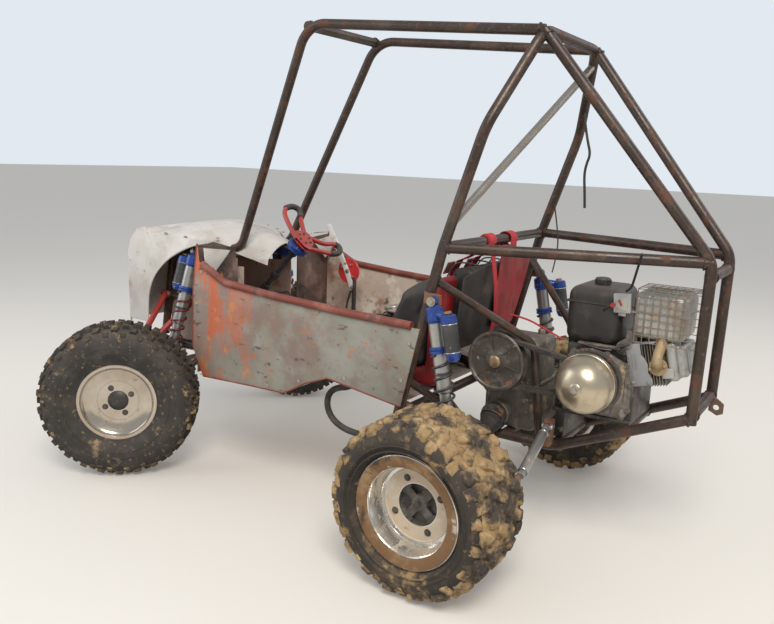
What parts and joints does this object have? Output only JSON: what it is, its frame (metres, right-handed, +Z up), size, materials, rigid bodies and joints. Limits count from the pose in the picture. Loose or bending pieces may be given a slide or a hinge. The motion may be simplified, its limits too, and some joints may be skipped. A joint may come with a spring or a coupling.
{
  "type": "dune buggy",
  "caption": "Home-built single-seat dune buggy with a bent tube cage, primer-grey sheet tub, rear belt drive and muddy knobbly tyres",
  "frame": {"origin": "on the floor under the middle of the overall box", "axes": "+X ahead, towards the nose; +Y to the driver's left; +Z up"},
  "size_m": [2.3211, 1.5976, 1.6352],
  "materials": {
    "cage_steel": "oily, rust-brown",
    "bright_steel": "scuffed",
    "tub_sheet": "chalky grey primer with rust",
    "tub_rim": "worn rust-red",
    "red_paint": "worn gloss",
    "seat_black": "matte vinyl",
    "seat_red": "worn vinyl",
    "strap_red": "woven webbing",
    "strap_black": "woven webbing",
    "casing": "dull cast, oily",
    "shroud": "dull grey",
    "tank_black": "satin",
    "silver": "dull silver",
    "clutch_metal": "turned",
    "black_rubber": "matte",
    "shock_metal": "anodised and satin",
    "spring_silver": "satin silver",
    "tow_red": "worn",
    "dark_metal": "satin black, dusty",
    "rim_metal": "polished, muddy",
    "tyre": "dusty tread, mud"
  },
  "bodies": {
    "chassis": {"belly_hose": "black_rubber", "bonnet": "tub_sheet", "brackets": "cage_steel", "column_bearing": "dark_metal", "crossbars": "cage_steel", "cylinder_shroud": "shroud", "drive_belt": "black_rubber", "driven_clutch": "clutch_metal", "engine": "casing", "engine_struts": "cage_steel", "foot_box": "tub_sheet", "front_bulkhead": "tub_sheet", "fuel_tank": "tank_black", "gearbox": "casing", "half_shafts": "black_rubber", "hand_lever": "red_paint", "harness_straps": "strap_red", "hoop_brace": "bright_steel", "hoop_strap": "strap_black", "lateral_links": "bright_steel", "lower_arms": "red_paint", "lower_rails": "cage_steel", "main_hoop": "cage_steel", "middle_rails": "cage_steel", "muffler": "silver", "muffler_guard": "cage_steel", "pedals": "dark_metal", "primary_clutch": "clutch_metal", "rear_arms": "red_paint", "rear_stays": "cage_steel", "seat_bolsters": "seat_red", "seat_cushions": "seat_black", "seat_wings": "seat_black", "shocks": "shock_metal", "side_panels": "tub_sheet", "side_rails": "cage_steel", "springs": "spring_silver", "steering_rack": "bright_steel", "tow_eye": "tow_red", "tub_floor": "tub_sheet", "tub_rims": "tub_rim", "upper_arms": "red_paint", "waist_rails": "cage_steel"},
    "knuckle_left": {"knuckle_left": "dark_metal"},
    "knuckle_right": {"knuckle_right": "dark_metal"},
    "wheel_front_left": {"tyre_front_left": "tyre", "rim_front_left": "rim_metal", "hub_front_left": "dark_metal"},
    "wheel_front_right": {"tyre_front_right": "tyre", "rim_front_right": "rim_metal", "hub_front_right": "dark_metal"},
    "wheel_rear_left": {"tyre_rear_left": "tyre", "rim_rear_left": "rim_metal", "hub_rear_left": "dark_metal"},
    "wheel_rear_right": {"tyre_rear_right": "tyre", "rim_rear_right": "rim_metal", "hub_rear_right": "dark_metal"},
    "steering_wheel": {"steering_column": "bright_steel", "steering_yoke": "red_paint"},
    "tie_bar": {"tie_rods": "bright_steel"}
  },
  "joints": [
    {"name": "steer_left", "type": "hinge", "parent": "chassis", "child": "knuckle_left", "pos_m": [0.84772, 0.506, 0.285], "axis": [0, 0, 1], "range_deg": [-80.8, 0]},
    {"name": "steer_right", "type": "hinge", "parent": "chassis", "child": "knuckle_right", "pos_m": [0.84772, -0.506, 0.285], "axis": [0, 0, 1], "range_deg": [-80.8, 0]},
    {"name": "steering_wheel_turn", "type": "hinge", "parent": "chassis", "child": "steering_wheel", "pos_m": [0.43072, 0, 0.831], "axis": [-0.6856, 0, 0.7279], "range_deg": [-224.05, 0]},
    {"name": "rack_slide", "type": "slide", "parent": "chassis", "child": "tie_bar", "axis": [0, 1, 0], "range_m": [-0.11671, 0]},
    {"name": "spin_front_left", "type": "hinge", "parent": "knuckle_left", "child": "wheel_front_left", "pos_m": [0.78939, 0.57454, 0.285], "axis": [-0.6481, 0.7615, 0], "continuous": true},
    {"name": "spin_front_right", "type": "hinge", "parent": "knuckle_right", "child": "wheel_front_right", "pos_m": [0.90605, -0.57454, 0.285], "axis": [0.6481, -0.7615, 0], "continuous": true},
    {"name": "spin_rear_left", "type": "hinge", "parent": "chassis", "child": "wheel_rear_left", "pos_m": [-0.52928, 0.584, 0.258], "axis": [0, 1, 0], "continuous": true},
    {"name": "spin_rear_right", "type": "hinge", "parent": "chassis", "child": "wheel_rear_right", "pos_m": [-0.52928, -0.584, 0.258], "axis": [0, -1, 0], "continuous": true}
  ],
  "couplings": [
    {"joint": "steer_right", "follows": "steer_left", "ratio": 1},
    {"joint": "steering_wheel_turn", "follows": "steer_left", "ratio": 2.7723},
    {"joint": "rack_slide", "follows": "steer_left", "m_per_rad": 0.082725}
  ]
}
